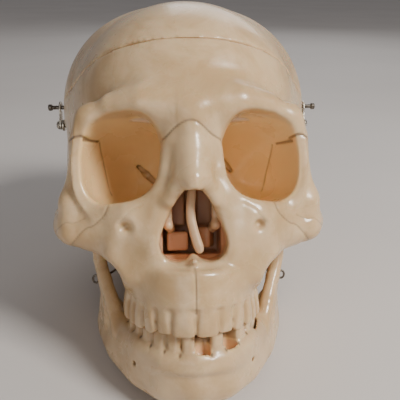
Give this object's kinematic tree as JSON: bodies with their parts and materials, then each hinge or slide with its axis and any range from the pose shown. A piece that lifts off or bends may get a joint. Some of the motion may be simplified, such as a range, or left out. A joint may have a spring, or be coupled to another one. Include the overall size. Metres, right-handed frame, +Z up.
{
  "type": "anatomical skull model",
  "caption": "Life-size plastic human skull for teaching, with a lift-off skull cap held by side latches and a lower jaw hung on springs.",
  "frame": {"origin": "on the table under the middle of the skull as it rests on its jaw angles and the back of its head", "axes": "+Z up, face toward -Y and tipped up, +X toward the skull's left side"},
  "size_m": [0.161, 0.2176, 0.1593],
  "materials": {
    "bone_plastic": "glossy ivory moulded plastic, stained tan in the hollows",
    "cavity_plastic": "satin warm tan moulded plastic",
    "tooth_plastic": "glossy cream plastic",
    "nickel": "nickel-plated steel, slightly tarnished",
    "dark_steel": "dark spring steel"
  },
  "bodies": {
    "skull": {"cranium": "bone_plastic", "cranial_floor": "cavity_plastic", "nasal_septum": "cavity_plastic", "inferior_concha_left": "cavity_plastic", "inferior_concha_right": "cavity_plastic", "locating_peg_front": "nickel", "locating_peg_back": "nickel", "latch_screw_left": "nickel", "latch_screw_right": "nickel", "latch_washer_left": "nickel", "latch_washer_right": "nickel", "spring_screw_left": "nickel", "spring_screw_right": "nickel", "jaw_spring_left": "dark_steel", "jaw_spring_right": "dark_steel"},
    "cap": {"calvarium": "bone_plastic", "latch_pin_left": "dark_steel", "latch_pin_right": "dark_steel"},
    "jaw": {"mandible": "bone_plastic", "removable_molar": "tooth_plastic"},
    "hook_left": {"latch_hook_left": "nickel"},
    "hook_right": {"latch_hook_right": "nickel"}
  },
  "joints": [
    {"name": "jaw_hinge", "type": "hinge", "parent": "skull", "child": "jaw", "pos_m": [0, -0.0096, 0.04983], "axis": [1, 0, 0], "range_deg": [0, 24], "stiffness_Nm_per_rad": 0.15, "springref_deg": -34.38, "deforming": ["jaw_spring_left", "jaw_spring_right"]},
    {"name": "cap_lift", "type": "slide", "parent": "skull", "child": "cap", "axis": [0, 0.5373, 0.8434], "range_m": [0, 0.07]},
    {"name": "hook_left_swing", "type": "hinge", "parent": "skull", "child": "hook_left", "pos_m": [0.0735, 0.03477, 0.08818], "axis": [1, 0, 0], "range_deg": [0, 90]},
    {"name": "hook_right_swing", "type": "hinge", "parent": "skull", "child": "hook_right", "pos_m": [-0.0735, 0.03477, 0.08818], "axis": [1, 0, 0], "range_deg": [0, 90]}
  ]
}
